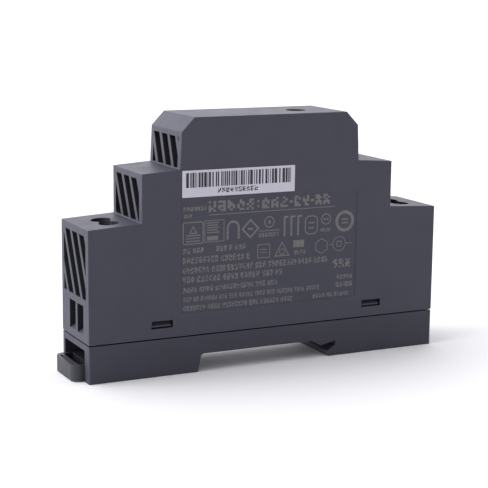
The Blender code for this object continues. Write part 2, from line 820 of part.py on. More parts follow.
def build_chip_resistor(name, x, z, size=(3.2, 1.6, 0.6)):
    length, width, height = size
    top = BOARD_Y[0] - 0.1
    low = (x - width / 2, top - height, z - length / 2)
    body = block(low, (x + width / 2, top, z + length / 2))
    return finish(bevel(body, 0.08, 1), name, "chip_black")


def build_drum(core_name, wire_name, x, z, radius, height):
    """Drum choke: a ferrite reel with its axis square to the board, and its winding."""
    y = BOARD_Y[0] - 0.6 - height / 2
    half, flange, waist = height / 2, 1.2, radius * 0.45
    profile = [
        (0.0, half),
        (radius, half),
        (radius, half - flange),
        (waist, half - flange),
        (waist, flange - half),
        (radius, flange - half),
        (radius, -half),
        (0.0, -half),
    ]
    core = turned(profile, (x, y, z), axis="Y", sides=20)
    for offset in (-2.0, 2.0):
        join(core, lead(x + offset, z, BOARD_Y[0] - 1.2))
    finish(core, core_name, "ferrite", smooth=True)
    outer = radius - 0.5
    coil = cylinder((x, y, z), outer, height - 2 * flange - 2 * GAP, "Y", sides=20)
    cut(coil, cylinder((x, y, z), waist + GAP, height, "Y", sides=20))
    finish(coil, wire_name, "magnet_wire", smooth=True)


# ---------------------------------------------------------------- transformer

CORE_Z = 22.0
CORE_Y = BOARD_Y[0] - GAP - 5.4
CORE_HALF = (8.0, 2.5, 10.0)
CORE_LEG = 2.5
CORE_WINDOW = (5.0, 7.0)
FLANGE_HALF = (4.7, 5.4, 6.6)


def ring(outer, inner, half_length):
    """A rectangular ring about the core's middle leg; outer and inner are half sizes (Y, Z)."""
    centre = Vector((0.0, CORE_Y, CORE_Z))
    outside = Vector((half_length, *outer))
    inside = Vector((half_length + 1.0, *inner))
    body = block(centre - outside, centre + outside)
    return bevel(body, 0.8, 2), block(centre - inside, centre + inside)


def build_core_half(side, name):
    end, half_y, half_z = CORE_HALF
    window_x, window_z = CORE_WINDOW
    gap = GAP / 2
    half = [
        (gap, CORE_LEG),
        (window_x, CORE_LEG),
        (window_x, window_z),
        (gap, window_z),
        (gap, half_z),
        (end, half_z),
    ]
    outline = [(side * x, CORE_Z - z) for x, z in reversed(half)]
    outline += [(side * x, CORE_Z + z) for x, z in half]
    core = prism(outline, CORE_Y - half_y, CORE_Y + half_y)
    return finish(core, name, "ferrite")


def build_bobbin():
    """Former with two flanges, and two pin rails between the core and the board."""
    half_x, half_y, half_z = FLANGE_HALF
    tube = CORE_LEG + GAP + 0.5
    bobbin = block(
        (-half_x, CORE_Y - tube, CORE_Z - tube),
        (half_x, CORE_Y + tube, CORE_Z + tube),
    )
    for side in (-1, 1):
        x0, x1 = sorted((side * half_x, side * (half_x - 0.5)))
        flange = block(
            (x0, CORE_Y - half_y, CORE_Z - half_z),
            (x1, CORE_Y + half_y, CORE_Z + half_z),
        )
        r0, r1 = sorted((side * (half_x - 0.5), side * 8.6))
        rail = block(
            (r0, CORE_Y + CORE_HALF[1] + GAP, CORE_Z - half_z),
            (r1, CORE_Y + half_y, CORE_Z + half_z),
        )
        join(bobbin, flange, rail)
        for row in (-1.5, -0.5, 0.5, 1.5):
            join(bobbin, lead(side * 7.4, CORE_Z + row * 3.2, CORE_Y + half_y - 1.0))
    leg = CORE_LEG + GAP
    bore = block((-9.0, CORE_Y - leg, CORE_Z - leg), (9.0, CORE_Y + leg, CORE_Z + leg))
    cut(bobbin, bore)
    return finish(bobbin, "transformer_bobbin", "bobbin_phenolic")


def build_winding():
    tube = CORE_LEG + GAP + 0.5
    winding, hollow = ring((4.75, 5.85), (tube + GAP, tube + GAP), 3.9)
    return finish(cut(winding, hollow), "transformer_winding", "magnet_wire")


def build_tape():
    tape, hollow = ring((5.25, 6.35), (4.95, 6.05), 3.7)
    return finish(cut(tape, bevel(hollow, 0.8, 2)), "transformer_tape", "yellow_tape")


# ---------------------------------------------------------------- trimmer and indicator


def build_trimmer():
    """Output voltage trimmer: the body is soldered to the board, and the rotor faces the hole."""
    x, y = TRIMMER_X, TRIMMER_Y
    body = block((x - 3.1, y - 3.1, 46.3), (x + 3.1, y + 3.1, 50.3))
    bevel(body, 0.25, 1)
    join(body, *[lead(x + offset, 48.0, y + 2.6) for offset in (-2.5, 0.0, 2.5)])
    cut(body, cylinder((x, y, 50.3), 2.35, 3.0, sides=24))
    finish(body, "trimmer_body", "trimmer_blue")
    rotor = cylinder((x, y, 50.2), 2.0, 2.2, sides=24)
    slot = block((x - 1.5, y - 0.3, 50.7), (x + 1.5, y + 0.3, 52.0))
    cross = block((x - 0.3, y - 1.5, 50.7), (x + 0.3, y + 1.5, 52.0))
    cut(rotor, slot, cross)
    finish(rotor, "trimmer_rotor", "trimmer_white", smooth=True)


def build_led():
    """Output indicator: a round lens that stands up through the middle step."""
    dome_steps = 4
    profile = [
        (1.5 * math.sin(math.pi / 2 * i / dome_steps), 2.4 + 1.5 * math.cos(math.pi / 2 * i / dome_steps))
        for i in range(dome_steps + 1)
    ]
    profile += [(1.5, -1.0), (1.9, -1.0), (1.9, -1.8), (0.0, -1.8)]
    base_z = 39.6
    lens = turned(profile, (LED_X, LED_Y, base_z), sides=20)
    for x in (LED_X - 0.8, LED_X + 0.8):
        join(lens, bent_lead((x, LED_Y, base_z - 1.0), x, 35.6, radius=0.25))
    return finish(lens, "output_led", "led_green", smooth=True)


# ---------------------------------------------------------------- assembly


def build_case():
    build_cover()
    build_base()
    build_label()
    build_clip()
    build_clip_spring()


def build_terminals():
    ends = (
        (-1, "input", ("line", "neutral")),
        (1, "output", ("positive", "negative")),
    )
    for side, end, poles in ends:
        build_housing(side, f"{end}_terminal_housing")
        for index, pole in enumerate(poles):
            build_terminal_screw(side, POLE_Y[index], f"{end}_screw_{pole}")
            build_cage(side, POLE_Y[index], f"{end}_clamp_{pole}")
            build_contact(side, index, f"{end}_contact_{pole}")


def build_primary_side():
    build_axial("input_fuse", "resistor_body", -29.2, 20.5, 1.8, 8.0)
    build_disc("surge_varistor", "disc_blue", -24.5, 12.6, 4.2, 3.4)
    build_disc("inrush_thermistor", "disc_green", -24.0, 23.2, 3.8, 3.2)
    build_drum("filter_choke_core", "filter_choke_winding", -16.2, 13.0, 4.0, 9.5)
    build_chip("bridge_rectifier", "chip_black", -27.4, 34.4, (6.4, 3.6, 2.4), 2, 4.0)
    build_electrolytic("bulk_capacitor_lower", -24.0, 14.0, 34.6, 4.9, 1)
    build_electrolytic("bulk_capacitor_upper", -18.4, 15.0, 45.8, 4.9, 1)
    build_chip("switching_controller", "chip_black", -14.6, 23.4, (4.9, 3.9, 1.8), 4)
    build_axial("snubber_diode", "chip_black", -11.0, 22.6, 1.0, 4.0)
    build_chip_resistor("sense_resistor", -19.4, 20.6)
    build_chip_resistor("snubber_resistor", -19.4, 26.2)


def build_isolation():
    build_core_half(-1, "transformer_core_left")
    build_core_half(1, "transformer_core_right")
    build_bobbin()
    build_winding()
    build_tape()
    build_disc("isolation_capacitor", "disc_blue", 0.0, 36.4, 3.4, 3.0, normal="Z")
    build_chip("optocoupler", "opto_white", 0.0, 9.4, (4.4, 6.4, 3.4), 2, 2.54)


def build_secondary_side():
    build_axial("output_rectifier", "chip_black", 12.0, 22.0, 2.3, 7.5)
    build_electrolytic("output_capacitor_upper", 9.8, 14.0, 34.6, 4.9, -1)
    build_electrolytic("output_capacitor_lower", 14.6, 12.0, 13.6, 4.9, 1)
    build_drum("output_choke_core", "output_choke_winding", 25.6, 23.8, 3.8, 8.5)
    build_chip("voltage_reference", "chip_black", 16.6, 43.6, (2.9, 1.4, 1.1), 2, 1.9)
    build_chip_resistor("feedback_resistor", 3.0, 44.0)
    build_trimmer()
    build_led()


build_case()
build_terminals()
build_primary_side()
build_isolation()
build_secondary_side()
build_board()
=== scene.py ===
"""Looks of a one-module DIN rail power supply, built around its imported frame.

Lengths are in millimetres, and MM turns them into the scene's metres where Blender gets them.
+X runs from the input end to the output end, -Y is the marked side, and +Z points to the front
face.
"""

import json
import math
import random

import bmesh
import bpy
from mathutils import Matrix, Vector
from mathutils.bvhtree import BVHTree


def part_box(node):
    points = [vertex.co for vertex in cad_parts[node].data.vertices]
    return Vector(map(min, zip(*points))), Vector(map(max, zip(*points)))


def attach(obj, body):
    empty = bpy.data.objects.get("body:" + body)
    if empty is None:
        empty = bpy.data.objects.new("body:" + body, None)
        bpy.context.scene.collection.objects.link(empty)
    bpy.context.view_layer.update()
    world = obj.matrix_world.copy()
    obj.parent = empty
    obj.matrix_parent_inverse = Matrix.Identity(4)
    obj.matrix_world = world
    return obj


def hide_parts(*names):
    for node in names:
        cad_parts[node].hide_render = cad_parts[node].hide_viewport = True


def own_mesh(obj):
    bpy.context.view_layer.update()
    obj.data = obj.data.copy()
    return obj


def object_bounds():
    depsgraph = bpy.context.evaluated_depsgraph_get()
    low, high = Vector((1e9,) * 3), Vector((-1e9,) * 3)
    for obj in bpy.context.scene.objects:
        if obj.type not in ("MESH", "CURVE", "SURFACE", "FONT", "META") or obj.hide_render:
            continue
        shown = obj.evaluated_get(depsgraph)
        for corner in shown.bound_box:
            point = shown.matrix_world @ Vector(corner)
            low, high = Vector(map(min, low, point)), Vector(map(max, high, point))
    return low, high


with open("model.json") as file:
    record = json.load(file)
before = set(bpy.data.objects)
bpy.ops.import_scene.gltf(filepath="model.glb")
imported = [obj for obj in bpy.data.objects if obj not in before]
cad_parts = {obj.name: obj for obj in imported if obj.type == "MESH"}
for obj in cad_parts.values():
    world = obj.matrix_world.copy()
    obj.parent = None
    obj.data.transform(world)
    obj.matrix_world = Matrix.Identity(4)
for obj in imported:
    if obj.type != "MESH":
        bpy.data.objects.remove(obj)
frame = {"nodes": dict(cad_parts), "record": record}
CAD_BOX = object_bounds()

MM = 0.001
NODES = frame["nodes"]
SLOT_OF_NODE = {part["node"]: part["material_slot"] for part in frame["record"]["subparts"]}
POLES = ("input_line", "input_neutral", "output_positive", "output_negative")


def box_mm(node):
    """Lowest and highest corner of a node, in millimetres."""
    low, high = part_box(node)
    return low / MM, high / MM


# ---------------------------------------------------------------- material building


class NodeTree:
    """Adds and links shader nodes."""

    def __init__(self, tree):
        self.tree = tree

    def node(self, kind, **settings):
        made = self.tree.nodes.new(kind)
        for name, value in settings.items():
            setattr(made, name, value)
        return made

    def feed(self, node, socket, value):
        """Links or sets one input of a node."""
        target = node.inputs[socket]
        if isinstance(value, bpy.types.NodeSocket):
            self.tree.links.new(value, target)
        else:
            target.default_value = value

    def spread(self, value, low, high, out_low, out_high, kind="LINEAR"):
        """Maps the stretch from low to high onto out_low to out_high."""
        ramp = self.node("ShaderNodeMapRange", interpolation_type=kind)
        for socket, number in zip(("Value", "From Min", "From Max"), (value, low, high)):
            self.feed(ramp, socket, number)
        self.feed(ramp, "To Min", out_low)
        self.feed(ramp, "To Max", out_high)
        return ramp.outputs["Result"]

    def combine(self, operation, first, second):
        """The result of a maths node on two values."""
        both = self.node("ShaderNodeMath", operation=operation)
        self.feed(both, 0, first)
        self.feed(both, 1, second)
        return both.outputs["Value"]

    def product(self, first, second):
        return self.combine("MULTIPLY", first, second)

    def larger(self, first, second):
        return self.combine("MAXIMUM", first, second)


class Surface(NodeTree):
    """A Principled material whose colour, roughness and bump are built up in layers."""

    def __init__(self, name, colour, roughness, metallic=0.0):
        self.material = bpy.data.materials.new(name)
        self.material.use_nodes = True
        super().__init__(self.material.node_tree)
        self.shader = self.tree.nodes["Principled BSDF"]
        self.shader.inputs["Metallic"].default_value = metallic
        coordinates = self.node("ShaderNodeTexCoord")
        scaled = self.node("ShaderNodeVectorMath", operation="SCALE")
        self.feed(scaled, "Vector", coordinates.outputs["Object"])
        scaled.inputs["Scale"].default_value = 1.0 / MM
        self.position = scaled.outputs["Vector"]
        self.colour = (*colour, 1.0)
        self.roughness = roughness
        self.normal = None

    def stretched(self, size, stretch):
        """The place on the piece in steps of size millimetres, times stretch along each axis."""
        mapping = self.node("ShaderNodeMapping")
        self.feed(mapping, "Vector", self.position)
        mapping.inputs["Scale"].default_value = [s / size for s in stretch]
        return mapping.outputs["Vector"]

    def noise(self, size, detail=2.0, stretch=(1, 1, 1)):
        """Noise whose features are about size millimetres across, from 0 to 1."""
        texture = self.node("ShaderNodeTexNoise")
        self.feed(texture, "Vector", self.stretched(size, stretch))
        self.feed(texture, "Scale", 1.0)
        self.feed(texture, "Detail", detail)
        return texture.outputs["Fac"]

    def cells(self, size):
        """The distance from the middle of cells about size millimetres across."""
        texture = self.node("ShaderNodeTexVoronoi")
        self.feed(texture, "Vector", self.stretched(size, (1, 1, 1)))
        self.feed(texture, "Scale", 1.0)
        return texture.outputs["Distance"]

    def blocks(self, size):
        """Squarish blocks about size millimetres across, each with its own random value."""
        texture = self.node("ShaderNodeTexVoronoi", distance="CHEBYCHEV")
        self.feed(texture, "Vector", self.stretched(size, (1, 0, 1)))
        self.feed(texture, "Scale", 1.0)
        return texture.outputs["Color"]

    def waves(self, pitch, axis, distortion=0.0):
        """Lines across an axis, at a pitch in millimetres."""
        texture = self.node("ShaderNodeTexWave", wave_type="BANDS", bands_direction=axis)
        self.feed(texture, "Vector", self.position)
        self.feed(texture, "Scale", math.pi / (10.0 * pitch))
        self.feed(texture, "Distortion", distortion)
        self.feed(texture, "Detail Scale", 0.4)
        return texture.outputs["Fac"]

    def tint(self, mask, colour):
        """Moves the colour towards another one where the mask is 1."""
        mix = self.node("ShaderNodeMix", data_type="RGBA")  # its colours are sockets 6, 7 and 2
        self.feed(mix, 0, mask)
        self.feed(mix, 6, self.colour)
        self.feed(mix, 7, (*colour, 1.0))
        self.colour = mix.outputs[2]

    def mottle(self, size, amount, detail=3.0, stretch=(1, 1, 1)):
        """Lightens and darkens the colour by a share of itself."""
        shade = self.spread(self.noise(size, detail, stretch), 0.3, 0.7, 1 - amount, 1 + amount)
        scale = self.node("ShaderNodeVectorMath", operation="SCALE")
        is_linked = isinstance(self.colour, bpy.types.NodeSocket)
        self.feed(scale, "Vector", self.colour if is_linked else self.colour[:3])
        self.feed(scale, "Scale", shade)
        self.colour = scale.outputs["Vector"]

    def vary_roughness(self, size, amount):
        """Makes the surface duller and shinier in patches."""
        low, high = self.roughness - amount, self.roughness + amount
        self.roughness = self.spread(self.noise(size, 3.0), 0.3, 0.7, low, high)

    def raise_by(self, height, depth, strength):
        """Adds bump from a 0 to 1 value; depth is in millimetres."""
        bump = self.node("ShaderNodeBump")
        self.feed(bump, "Height", height)
        self.feed(bump, "Distance", depth * MM)
        self.feed(bump, "Strength", strength)
        if self.normal is not None:
            self.feed(bump, "Normal", self.normal)
        self.normal = bump.outputs["Normal"]

    def edge_wear_and_highlight(self, radius, colour, amount):
        """Lightens the edges in patches: partly wear where moulded or turned parts rub, partly a
        painted highlight along the edges.
        """
        rounded = self.node("ShaderNodeBevel", samples=4)
        self.feed(rounded, "Radius", radius * MM)
        flat = self.node("ShaderNodeNewGeometry")
        compare = self.node("ShaderNodeVectorMath", operation="DOT_PRODUCT")
        self.feed(compare, 0, rounded.outputs["Normal"])
        self.feed(compare, 1, flat.outputs["Normal"])
        edge = self.spread(compare.outputs["Value"], 0.985, 0.86, 0.0, amount)
        patchy = self.spread(self.noise(1.3, 4.0), 0.35, 0.65, 0.35, 1.0)
        self.tint(self.product(edge, patchy), colour)

    def finish(self, **inputs):
        """Links the layers to the shader; other inputs are given by name."""
        self.feed(self.shader, "Base Color", self.colour)
        self.feed(self.shader, "Roughness", self.roughness)
        if self.normal is not None:
            self.feed(self.shader, "Normal", self.normal)
        for name, value in inputs.items():
            self.feed(self.shader, name.replace("_", " "), value)
        return self.material


# ---------------------------------------------------------------- materials


def spark_eroded_plastic(name, colour, edge_colour, roughness):
    """Moulded plastic with the fine matt texture of a spark-eroded mould."""
    surface = Surface(name, colour, roughness)
    surface.mottle(9.0, 0.035)
    surface.mottle(0.16, 0.07, detail=2.0)
    # lighter edges: partly wear, partly a painted highlight along the case's edges
    surface.edge_wear_and_highlight(0.22, edge_colour, 0.55)
    surface.vary_roughness(4.0, 0.045)
    surface.raise_by(surface.noise(0.13, 3.0), 0.010, 0.45)
    surface.raise_by(surface.cells(0.3), 0.005, 0.3)
    return surface.finish(IOR=1.50)


def satin_plastic(name, colour, roughness, grain=0.004):
    """Smoother moulded plastic with faint flow marks."""
    surface = Surface(name, colour, roughness)
    surface.mottle(3.0, 0.06, stretch=(0.4, 1, 1))
    surface.edge_wear_and_highlight(0.15, [c * 1.9 + 0.02 for c in colour], 0.4)
    surface.vary_roughness(1.6, 0.06)
    surface.raise_by(surface.noise(0.25, 3.0), grain, 0.5)
    return surface.finish(IOR=1.5)


PAINTED_SHADE_FROM = -44.0  # X where the painted shade on the clip's stretch inside the base is at its darkest
PAINTED_SHADE_FADE = 1.0


def clip_plastic():
    """Satin plastic, with painted shade on the stretch that runs inside the base."""
    surface = Surface("clip_plastic", (0.035, 0.035, 0.047), 0.44)
    surface.mottle(3.0, 0.06, stretch=(0.4, 1, 1))
    surface.edge_wear_and_highlight(0.15, (0.09, 0.088, 0.10), 0.4)
    axes = surface.node("ShaderNodeSeparateXYZ")
    surface.feed(axes, "Vector", surface.position)
    fade_start = PAINTED_SHADE_FROM - PAINTED_SHADE_FADE
    # painted shade: the stretch inside the base's opening is darkened as if in shadow
    painted_shade_stretch = surface.spread(axes.outputs["X"], fade_start, PAINTED_SHADE_FROM, 0.0, 0.75)
    surface.tint(painted_shade_stretch, (0.008, 0.008, 0.011))
    surface.vary_roughness(1.6, 0.06)
    surface.raise_by(surface.noise(0.25, 3.0), 0.004, 0.5)
    return surface.finish(IOR=1.5)


def laser_marking():
    """Dry pale marks burnt into the plastic: specks of the dark ground show through."""
    surface = Surface("laser_marking", (0.19, 0.185, 0.185), 0.72)
    surface.mottle(0.5, 0.14)
    specks = surface.spread(surface.noise(0.09, 3.0), 0.58, 0.72, 0.0, 0.65)
    surface.tint(specks, (0.08, 0.08, 0.10))
    surface.raise_by(surface.noise(0.07, 2.0), 0.006, 0.6)
    return surface.finish(IOR=1.45)


def label_paper():
    """Coated paper with a faint grain."""
    surface = Surface("label_paper", (0.68, 0.655, 0.745), 0.55)
    surface.mottle(2.2, 0.02)
    surface.mottle(0.12, 0.035, detail=4.0, stretch=(0.35, 1, 1))
    surface.vary_roughness(0.8, 0.06)
    surface.raise_by(surface.noise(0.1, 4.0, (0.4, 1, 1)), 0.003, 0.5)
    return surface.finish(IOR=1.45)


def printing_ink():
    """Thermal print: dense, with tiny voids where the paper grain shows."""
    surface = Surface("printing_ink", (0.035, 0.03, 0.045), 0.42)
    voids = surface.spread(surface.noise(0.07, 4.0), 0.62, 0.74, 0.0, 0.6)
    surface.tint(voids, (0.35, 0.33, 0.38))
    surface.vary_roughness(0.6, 0.08)
    return surface.finish(IOR=1.45)


def plated_steel(name, colour, roughness, drawn=(1, 1, 0.12)):
    """Zinc plate: fine drawn lines, cloudy spangle and duller patches."""
    surface = Surface(name, colour, roughness, metallic=1.0)
    surface.mottle(0.9, 0.10)
    surface.raise_by(surface.noise(0.05, 2.0, drawn), 0.003, 0.5)
    dull = surface.spread(surface.noise(0.5, 4.0), 0.55, 0.8, 0.0, 0.5)
    surface.tint(dull, [c * 0.62 for c in colour])
    surface.vary_roughness(0.7, 0.10)
    return surface.finish()


def turned_steel(name, colour):
    """Screw steel: fine lines along the screw, and edges rubbed bright."""
    surface = Surface(name, colour, 0.30, metallic=1.0)
    surface.mottle(0.6, 0.12)
    surface.raise_by(surface.noise(0.06, 2.0, (1, 1, 0.3)), 0.004, 0.4)
    surface.edge_wear_and_highlight(0.12, [min(1.0, c * 1.25) for c in colour], 0.7)
    surface.vary_roughness(0.5, 0.10)
    return surface.finish()


BLOCK_SIZE = 9.0
TRACK_PITCH = 1.3
UPRIGHT_BELOW = 0.40  # blocks with a lower random value have upright tracks
FILLED_ABOVE = 0.62  # blocks with a higher one are filled, and the rest have level tracks
BLEND = 0.01


def solder_mask():
    """Green mask over copper: blocks of parallel tracks and filled planes show through it."""
    surface = Surface("solder_mask", (0.012, 0.10, 0.035), 0.30)
    chance = surface.blocks(BLOCK_SIZE)
    is_upright = surface.spread(chance, UPRIGHT_BELOW, UPRIGHT_BELOW + BLEND, 1.0, 0.0)
    is_level = surface.spread(chance, UPRIGHT_BELOW, UPRIGHT_BELOW + BLEND, 0.0, 1.0)
    is_filled = surface.spread(chance, FILLED_ABOVE, FILLED_ABOVE + BLEND, 0.0, 1.0)
    upright = surface.spread(surface.waves(TRACK_PITCH, "X"), 0.42, 0.50, 0.0, 1.0)
    level = surface.spread(surface.waves(TRACK_PITCH, "Z"), 0.42, 0.50, 0.0, 1.0)
    tracks = surface.larger(
        surface.product(upright, is_upright), surface.product(level, is_level)
    )
    copper = surface.larger(tracks, is_filled)
    surface.tint(copper, (0.016, 0.14, 0.045))
    surface.raise_by(copper, 0.03, 0.6)
    surface.raise_by(surface.noise(0.4, 2.0, (1, 1, 0.3)), 0.004, 0.4)
    surface.mottle(1.5, 0.06)
    surface.vary_roughness(1.0, 0.06)
    return surface.finish(Coat_Weight=0.4, Coat_Roughness=0.15)


def ferrite():
    """Pressed and fired powder: dull, grainy and pitted."""
    surface = Surface("ferrite", (0.05, 0.048, 0.047), 0.58)
    surface.mottle(0.25, 0.22, detail=5.0)
    pores = surface.spread(surface.cells(0.45), 0.0, 0.16, 1.0, 0.0)
    surface.tint(pores, (0.015, 0.014, 0.014))
    surface.raise_by(surface.noise(0.12, 4.0), 0.012, 0.5)
    surface.edge_wear_and_highlight(0.2, (0.10, 0.095, 0.09), 0.6)
    return surface.finish(IOR=1.8)


def magnet_wire():
    """Enamelled copper: a warm metal under a clear amber coat."""
    surface = Surface("magnet_wire", (0.62, 0.24, 0.09), 0.26, metallic=1.0)
    surface.mottle(0.8, 0.14)
    surface.raise_by(surface.noise(0.08, 2.0), 0.004, 0.4)
    surface.vary_roughness(0.5, 0.07)
    return surface.finish(Coat_Weight=0.7, Coat_Roughness=0.12)


def yellow_tape():
    """Polyester tape with faint wrinkles and overlapping edges."""
    surface = Surface("polyester_tape", (0.72, 0.50, 0.05), 0.30)
    surface.mottle(1.8, 0.08)
    surface.raise_by(surface.noise(1.1, 3.0, (1, 0.25, 0.25)), 0.05, 0.5)
    surface.raise_by(surface.waves(1.8, "X"), 0.02, 0.3)
    surface.vary_roughness(0.8, 0.07)
    return surface.finish(Coat_Weight=0.3, Coat_Roughness=0.2)


def can_sleeve():
    """Shrink sleeve with shallow ripples round the can."""
    surface = Surface("can_sleeve", (0.018, 0.02, 0.04), 0.30)
    surface.mottle(1.6, 0.12)
    surface.raise_by(surface.waves(0.8, "X", distortion=0.6), 0.012, 0.35)
    surface.raise_by(surface.noise(0.5, 3.0), 0.008, 0.4)
    surface.vary_roughness(1.2, 0.08)
    return surface.finish(Coat_Weight=0.25, Coat_Roughness=0.15)


def dipped_epoxy(name, colour):
    """Powder-dipped disc: orange peel and a few pits."""
    surface = Surface(name, colour, 0.34)
    surface.mottle(1.4, 0.10)
    surface.raise_by(surface.noise(0.55, 2.0), 0.05, 0.5)
    pits = surface.spread(surface.cells(0.9), 0.0, 0.10, 1.0, 0.0)
    surface.tint(pits, [c * 0.5 for c in colour])
    surface.vary_roughness(0.7, 0.08)
    return surface.finish(Coat_Weight=0.3, Coat_Roughness=0.2)


def tinted_lens():
    """Clear green epoxy."""
    surface = Surface("tinted_lens", (0.08, 0.50, 0.13), 0.12)
    surface.mottle(0.8, 0.08)
    surface.raise_by(surface.noise(0.3, 2.0), 0.002, 0.3)
    surface.vary_roughness(0.6, 0.04)
    return surface.finish(Transmission_Weight=0.6, IOR=1.5)


CASE = spark_eroded_plastic("case_plastic", (0.056, 0.055, 0.082), (0.15, 0.15, 0.17), 0.50)
BASE_CASE = spark_eroded_plastic("base_plastic", (0.045, 0.044, 0.067), (0.14, 0.14, 0.16), 0.50)
# near-black copies of the case plastics: painted shade for faces in slots, holes, the hollow and
# the seam
CASE_PAINTED_SHADE = spark_eroded_plastic("case_painted_shade", (0.012, 0.012, 0.017), (0.03, 0.03, 0.03), 0.62)
BASE_PAINTED_SHADE = spark_eroded_plastic("base_painted_shade", (0.024, 0.023, 0.036), (0.05, 0.05, 0.06), 0.55)

MATERIAL_OF_SLOT = {
    "case": CASE,
    "clip": clip_plastic(),
    "spring": plated_steel("spring_wire", (0.60, 0.60, 0.62), 0.28),
    "board": solder_mask(),
    "label": label_paper(),
    "terminal_block": satin_plastic("terminal_plastic", (0.022, 0.022, 0.024), 0.48),
    "screw_steel": turned_steel("screw_steel", (0.62, 0.61, 0.58)),
    "clamp_steel": plated_steel("clamp_steel", (0.66, 0.64, 0.56), 0.34),
    "contact_metal": plated_steel("tinned_contact", (0.74, 0.73, 0.70), 0.30, drawn=(0.1, 1, 1)),
    "fuse_body": satin_plastic("lacquered_body", (0.36, 0.28, 0.17), 0.42, grain=0.02),
    "disc_blue": dipped_epoxy("dipped_epoxy_blue", (0.02, 0.13, 0.42)),
    "disc_green": dipped_epoxy("dipped_epoxy_green", (0.03, 0.16, 0.07)),
    "ferrite": ferrite(),
    "copper_wire": magnet_wire(),
    "package_black": satin_plastic("package_black", (0.017, 0.017, 0.018), 0.52, grain=0.008),
    "package_white": satin_plastic("package_white", (0.62, 0.62, 0.58), 0.50, grain=0.008),
    "can_sleeve": can_sleeve(),
    "bobbin": satin_plastic("bobbin_phenolic", (0.030, 0.027, 0.025), 0.48),
    "tape": yellow_tape(),
    "trimmer_blue": satin_plastic("trimmer_blue", (0.03, 0.10, 0.42), 0.36),
    "trimmer_white": satin_plastic("trimmer_white", (0.72, 0.70, 0.62), 0.42),
    "led_lens": tinted_lens(),
}


# ---------------------------------------------------------------- CAD pieces: finish and soft edges


COVER_ROUNDING = 0.38
BASE_ROUNDING = 0.25
CLIP_ROUNDING = 0.25
BOARD_ROUNDING = 0.06
SOFT_EDGE = 0.10
WELD = 0.001 * MM  # corners closer than this are one
FLAT_ANGLE = math.radians(0.5)  # faces that meet at less than this are one
REBUILT = ("front_cover", "rear_base", "din_clip", "circuit_board")


def soften(obj):
    """Rounds the piece's sharp edges and lets its flat faces shade flat."""
    weld = obj.modifiers.new("weld", "WELD")
    weld.merge_threshold = WELD
    flatten = obj.modifiers.new("flatten", "DECIMATE")
    flatten.decimate_type = "DISSOLVE"
    flatten.angle_limit = FLAT_ANGLE
    bevel = obj.modifiers.new("bevel", "BEVEL")
    bevel.width = SOFT_EDGE * MM
    bevel.segments = 2
    bevel.limit_method = "ANGLE"
    bevel.angle_limit = math.radians(32)
    bevel.use_clamp_overlap = False
    bevel.miter_outer = "MITER_ARC"
    normals = obj.modifiers.new("normals", "WEIGHTED_NORMAL")
    normals.keep_sharp = False


def dress_cad_nodes():
    """Gives every CAD node its finish, and soft edges unless build_mouldings rounds it."""
    for node, obj in NODES.items():
        obj.data.materials.clear()
        obj.data.materials.append(MATERIAL_OF_SLOT[SLOT_OF_NODE[node]])
        if node not in REBUILT:
            soften(obj)


# ---------------------------------------------------------------- new pieces


def add_piece(name, mesh, body, slot, material=None, stands_for=()):
    """A new piece of the object, which rides on a CAD body."""
    obj = bpy.data.objects.new(name, mesh)
    bpy.context.scene.collection.objects.link(obj)
    obj.data.materials.append(material or MATERIAL_OF_SLOT[slot])
    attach(obj, body)
    if stands_for:
        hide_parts(*stands_for)
    return obj


SMALL_FACE = 5.0 * MM * MM  # edges of faces under this area stay square
INSIDE_REACH = 20.0 * MM  # how far an inside face may be from the wall that it faces
INSIDE_SHARE = 0.4  # share of a face's corners that have to see a wall
SEAM_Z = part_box("front_cover")[0].z
SEAM_REACH = 0.5 * MM
HALF_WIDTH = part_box("front_cover")[1].y
BOARD_EDGE = 3.0 * MM  # longer than any edge of a drilled hole
CLIP_EDGE = 0.5 * MM


def is_case_edge(edge):
    """True for an edge of a side face, or one across the whole case, but not at the seam."""
    ends = [vert.co for vert in edge.verts]
    if all(abs(co.z - SEAM_Z) < SEAM_REACH for co in ends):
        return False
    if min(face.calc_area() for face in edge.link_faces) < SMALL_FACE:
        return False
    on_side = all(abs(abs(co.y) - HALF_WIDTH) < 0.01 * MM for co in ends)
    across = abs(ends[0].y - ends[1].y) > 1.8 * HALF_WIDTH
    return on_side or across


def is_board_edge(edge):
    """True for the board's outline, not for its drilled holes."""
    return edge.is_convex and edge.calc_length() > BOARD_EDGE


def is_clip_edge(edge):
    """True for the long outer edges of the rail clip."""
    return edge.is_convex and edge.calc_length() > CLIP_EDGE


def is_inside(face, tree):
    """True in the seam, and where a moulding faces itself: in slots, holes and the hollow."""
    lift = 0.01 * MM * face.normal
    middle = face.calc_center_median()
    if abs(middle.z - SEAM_Z) < SEAM_REACH and abs(face.normal.z) > 0.9:
        return True
    places = [corner.co.lerp(middle, 0.05) + lift for corner in face.verts]
    hits = [tree.ray_cast(place, face.normal, INSIDE_REACH)[0] for place in places]
    return sum(hit is not None for hit in hits) >= INSIDE_SHARE * len(hits)


